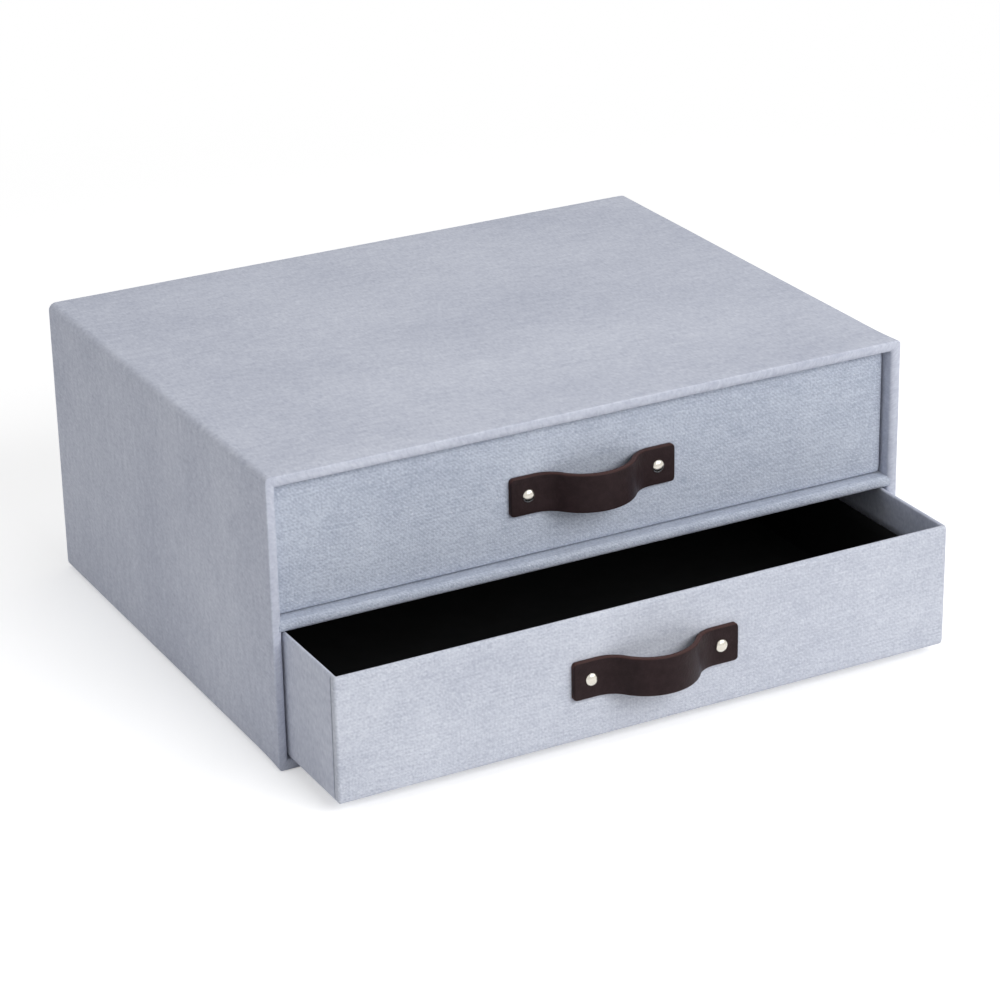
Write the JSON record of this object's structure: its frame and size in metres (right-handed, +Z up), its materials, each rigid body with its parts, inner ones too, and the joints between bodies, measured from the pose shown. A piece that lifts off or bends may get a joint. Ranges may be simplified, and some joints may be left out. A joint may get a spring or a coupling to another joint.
{
  "type": "mini chest of drawers",
  "caption": "Desk-top chest of stacked drawers in linen-covered board, with arched leather strap pulls and domed rivets, for papers and small things.",
  "frame": {"origin": "middle of the casing's footprint, on the underside that rests on the table", "axes": "+X to the right as seen from the front, +Y from the drawer fronts to the back, +Z up"},
  "size_m": [0.335, 0.3304, 0.145],
  "materials": {
    "linen": "plain-woven blue-grey linen glued over board",
    "greyboard": "raw pressed greyboard",
    "lining": "matt black paper",
    "leather": "dark brown smooth leather with cut edges",
    "rivet_metal": "polished nickel plate"
  },
  "bodies": {
    "casing": {"casing_top_board": "greyboard", "casing_bottom_board": "greyboard", "casing_left_board": "greyboard", "casing_right_board": "greyboard", "casing_back_board": "greyboard", "shelf_board": "greyboard", "casing_linen": "linen", "shelf_linen": "linen", "casing_back_sheet": "linen", "casing_base_sheet": "lining", "upper_bay_lining": "lining", "lower_bay_lining": "lining"},
    "upper_drawer": {"upper_drawer_base_board": "greyboard", "upper_drawer_front_board": "greyboard", "upper_drawer_back_board": "greyboard", "upper_drawer_left_board": "greyboard", "upper_drawer_right_board": "greyboard", "upper_drawer_front_linen": "linen", "upper_drawer_body_linen": "linen", "upper_drawer_lining": "lining", "upper_drawer_strap": "leather", "upper_drawer_rivets": "rivet_metal", "upper_drawer_rivet_caps": "rivet_metal"},
    "lower_drawer": {"lower_drawer_base_board": "greyboard", "lower_drawer_front_board": "greyboard", "lower_drawer_back_board": "greyboard", "lower_drawer_left_board": "greyboard", "lower_drawer_right_board": "greyboard", "lower_drawer_front_linen": "linen", "lower_drawer_body_linen": "linen", "lower_drawer_lining": "lining", "lower_drawer_strap": "leather", "lower_drawer_rivets": "rivet_metal", "lower_drawer_rivet_caps": "rivet_metal"}
  },
  "joints": [
    {"name": "upper_drawer_slide", "type": "slide", "parent": "casing", "child": "upper_drawer", "axis": [0, -1, 0], "range_m": [0, 0.18]},
    {"name": "lower_drawer_slide", "type": "slide", "parent": "casing", "child": "lower_drawer", "axis": [0, -1, 0], "range_m": [-0.0575, 0.1225]}
  ]
}
